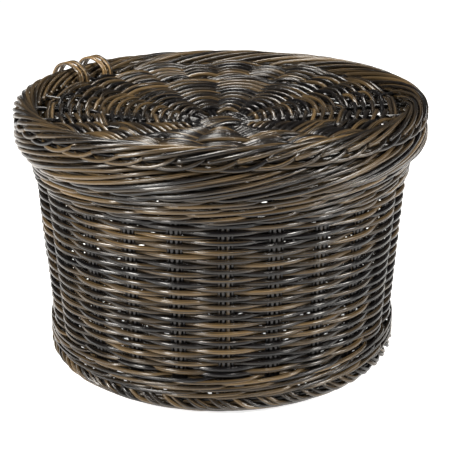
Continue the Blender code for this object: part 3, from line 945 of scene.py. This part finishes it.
def lid_loop_points(x):
    """Loop round the lid's border, with an eye round the hinge line at its outer end."""
    cane = sizes().hinge_cane
    run = Z_SEAT + 0.0005 + cane / 2
    top = Z_LID_TOP + 0.0052
    inner = MOUTH_R - INNER_RUN
    line = [(inner, run + 0.006), (inner + 0.0008, run + 0.0012), (inner + 0.0038, run),
            (LID_INNER_R + 0.010, run), (RIM_R - 0.0045, run - 0.0002)]
    for degrees in (200, 235, 270, 305, 340, 375):
        turn = math.radians(degrees)
        line.append((HINGE_Y + EYE_R * math.cos(turn), Z_HINGE + EYE_R * math.sin(turn)))
    line += [(HINGE_Y + 0.002, Z_HINGE + 0.011), (HINGE_Y - 0.0045, top - 0.0045),
             (LID_R - 0.006, top), (LID_INNER_R + 0.010, top + 0.0008), (LID_INNER_R + 0.001, top - 0.002),
             (inner + 0.0015, top - 0.008)]
    return [Vector((x, AXIS_Y + y, z)) for y, z in line]


def basket_loop_points(hand):
    """Loop round the basket's rim; its outer run lies on the hinge line."""
    cane = sizes().hinge_cane
    near, far = LEG_X
    groove = Z_MOUTH - 0.0004 - cane / 2
    hole = Z_SEAT - 0.039
    inner = MOUTH_R - INNER_RUN
    low = wall_outer(hole) - WALL_T - LEG_CLEARANCE
    bend = LOOP_X[0] - cane / 2 - 0.0003 - near
    middle = (near + far) / 2
    line = [(near + bend, HINGE_Y, Z_HINGE), (middle, HINGE_Y, Z_HINGE), (far - bend, HINGE_Y, Z_HINGE),
            (far - 0.0007, HINGE_Y - 0.0007, Z_HINGE - 0.0002), (far, HINGE_Y - 0.0030, groove + 0.0012),
            (far, RIM_R - 0.0050, groove), (far, LID_INNER_R + 0.006, groove), (far, inner + 0.0022, groove),
            (far - 0.0002, inner + 0.0005, groove - 0.0011), (far - 0.0012, inner, groove - 0.0040),
            (middle, (inner + low) / 2 - 0.0003, (groove + hole) / 2),
            (near + 0.0022, low - 0.0010, hole + 0.006), (near + 0.0002, low, hole + 0.0012),
            (near, low + 0.0040, hole),
            (near, wall_outer(hole) - 0.004, hole), (near, RIM_R - 0.0060, hole + 0.0006),
            (near, RIM_R + 0.0012, hole + 0.0042), (near, RIM_R + 0.0030, hole + 0.011),
            (near, RIM_R + 0.0032, Z_HINGE - 0.014), (near, HINGE_Y - 0.0016, Z_HINGE - 0.0055),
            (near + 0.0006, HINGE_Y - 0.0001, Z_HINGE - 0.0014)]
    return [Vector((hand * x, AXIS_Y + y, z)) for x, y, z in line]


class BASKET_OT_hinge(bpy.types.Operator):
    """Bind the lid to the rim with linked loops of golden cane"""
    bl_idname = "basket.hinge"
    bl_label = "Hinge Loops"

    def execute(self, context):
        s = sizes()
        tone = random.Random(800)
        for hand, side in ((-1, "left"), (1, "right")):
            add_canes(f"hinge_basket_cane_{side}",
                      [Cane(smooth_loop(basket_loop_points(hand), 3), tone.random(), closed=True)],
                      s.hinge_cane, 3, hinge_finish(), "basket", [f"hinge_basket_loop_{side}"])
            for x, place in zip(LOOP_X, ("inner", "outer")):
                pair = [Cane(smooth_loop(lid_loop_points(hand * (x + aside)), 3), tone.random(), closed=True)
                        for aside in (-0.0012, 0.0016)]
                add_canes(f"hinge_lid_cane_{side}_{place}", pair, s.hinge_cane * 0.8, 3, hinge_finish(),
                          "lid", [f"hinge_lid_loop_{side}_{place}"])
        return {"FINISHED"}


# ---------------------------------------------------------------- stage

def look_at(place, target):
    return (Vector(target) - Vector(place)).to_track_quat("-Z", "Y").to_euler()


class BASKET_OT_stage(bpy.types.Operator):
    """Set the floor, the soft lights and the camera"""
    bl_idname = "basket.stage"
    bl_label = "Stage"

    def execute(self, context):
        bpy.ops.object.select_all(action="DESELECT")
        bpy.ops.mesh.primitive_plane_add(size=40, location=(0, 0, -0.0004))
        floor = bpy.context.object
        floor.name = "floor"
        bpy.ops.object.transform_apply(location=True, rotation=True, scale=True)
        material = bpy.data.materials.new("pale floor")
        material.use_nodes = True
        shader = material.node_tree.nodes["Principled BSDF"]
        shader.inputs["Roughness"].default_value = 0.9
        shader.inputs["Base Color"].default_value = (*colours().floor, 1)
        shader.inputs["Emission Color"].default_value = (1, 1, 1, 1)
        shader.inputs["Emission Strength"].default_value = 0.80
        floor.data.materials.append(material)
        for name, place, size, power in (("left softbox", (-1.45, 0.25, 1.00), 0.42, 42),
                                         ("right softbox", (0.25, -1.50, 0.95), 0.42, 34),
                                         ("top softbox", (0.35, 0.60, 1.60), 0.45, 24),
                                         ("spark", (-0.30, -0.70, 1.70), 0.12, 7)):
            bpy.ops.object.light_add(type="AREA", location=place, rotation=look_at(place, (0, 0, 0.12)))
            light = bpy.context.object
            light.name = name
            light.data.size = size
            light.data.energy = power
            light.data.color = (1.0, 0.965, 0.91)
        world = bpy.data.worlds.new("studio")
        bpy.context.scene.world = world
        world.use_nodes = True
        world.node_tree.nodes["Background"].inputs[0].default_value = (1, 1, 1, 1)
        world.node_tree.nodes["Background"].inputs[1].default_value = 0.06
        self.camera()
        bpy.context.scene.view_settings.view_transform = "Standard"
        return {"FINISHED"}

    def camera(self):
        """Long lens from the side of the single spoke, a little above the lid."""
        distance, down, bearing = 1.1385, math.radians(20.5), math.radians(218.5)
        target = Vector((0, AXIS_Y, 0.1242))
        place = target + distance * Vector((math.cos(bearing) * math.cos(down),
                                            math.sin(bearing) * math.cos(down), math.sin(down)))
        turn = look_at(place, target).to_matrix() @ Matrix.Rotation(math.radians(-0.332), 3, "Y")
        turn = turn @ Matrix.Rotation(math.radians(-0.306), 3, "X")
        turn = turn @ Matrix.Rotation(math.radians(-0.4), 3, "Z")
        bpy.ops.object.camera_add(location=place, rotation=turn.to_euler())
        camera = bpy.context.object
        camera.name = "product camera"
        camera.data.lens = 88.6
        bpy.context.scene.camera = camera


# ---------------------------------------------------------------- panel and run

OPERATORS = (BASKET_OT_stage, BASKET_OT_wall, BASKET_OT_walings, BASKET_OT_stakes, BASKET_OT_foot,
             BASKET_OT_rim, BASKET_OT_lid_weave, BASKET_OT_lid_spokes, BASKET_OT_lid_border,
             BASKET_OT_base, BASKET_OT_knots, BASKET_OT_hinge)


class BASKET_PT_panel(bpy.types.Panel):
    """Sizes, colours and the pieces in the order they are made"""
    bl_label = "Wicker Basket"
    bl_idname = "BASKET_PT_panel"
    bl_space_type = "VIEW_3D"
    bl_region_type = "UI"
    bl_category = "Basket"

    def draw(self, context):
        for group in (context.scene.basket_sizes, context.scene.basket_colours):
            box = self.layout.box()
            for name in group.__annotations__:
                box.prop(group, name)
        column = self.layout.column()
        for operator in OPERATORS:
            column.operator(operator.bl_idname)


CLASSES = (BasketSizes, BasketColours, *OPERATORS, BASKET_PT_panel)


def register():
    for cls in CLASSES:
        bpy.utils.register_class(cls)
    bpy.types.Scene.basket_sizes = PointerProperty(type=BasketSizes)
    bpy.types.Scene.basket_colours = PointerProperty(type=BasketColours)


def unregister():
    del bpy.types.Scene.basket_sizes
    del bpy.types.Scene.basket_colours
    for cls in reversed(CLASSES):
        bpy.utils.unregister_class(cls)


def main():
    register()
    bpy.ops.basket.stage()
    bpy.ops.basket.wall()
    bpy.ops.basket.walings()
    bpy.ops.basket.stakes()
    bpy.ops.basket.foot()
    bpy.ops.basket.rim()
    bpy.ops.basket.lid_weave()
    bpy.ops.basket.lid_spokes()
    bpy.ops.basket.lid_border()
    bpy.ops.basket.base()
    bpy.ops.basket.knots()
    bpy.ops.basket.hinge()


if __name__ == "__main__":
    main()
